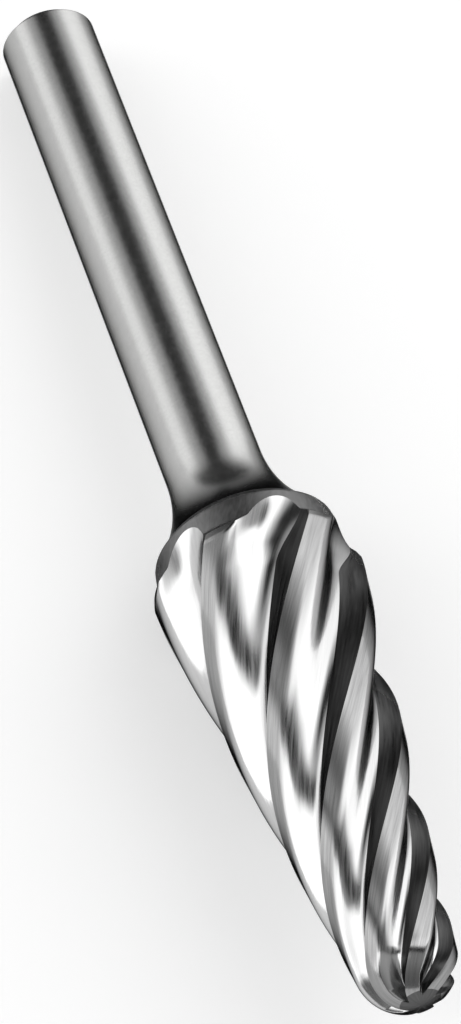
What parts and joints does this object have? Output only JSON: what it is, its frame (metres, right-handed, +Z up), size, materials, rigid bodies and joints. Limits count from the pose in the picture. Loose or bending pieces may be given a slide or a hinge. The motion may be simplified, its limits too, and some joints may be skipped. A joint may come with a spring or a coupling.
{
  "type": "carbide burr",
  "caption": "Rotary carbide burr with a ball-nosed cone head, coarse right-hand helical teeth and a plain round steel shank for a collet.",
  "frame": {"origin": "on the ground, under the middle of the burr's length as it lies on its side", "axes": "+Z up; +X from the shank end towards the nose, with the tool axis rising slightly towards the head; +Y to the left of that direction"},
  "size_m": [0.075, 0.0126, 0.0121],
  "materials": {
    "shank_steel": "fine ground steel, satin at the neck",
    "ground_carbide": "bright ground tungsten carbide, with fine grinding marks"
  },
  "bodies": {
    "root": {"steel_shank": "shank_steel", "carbide_head": "ground_carbide"}
  },
  "joints": []
}
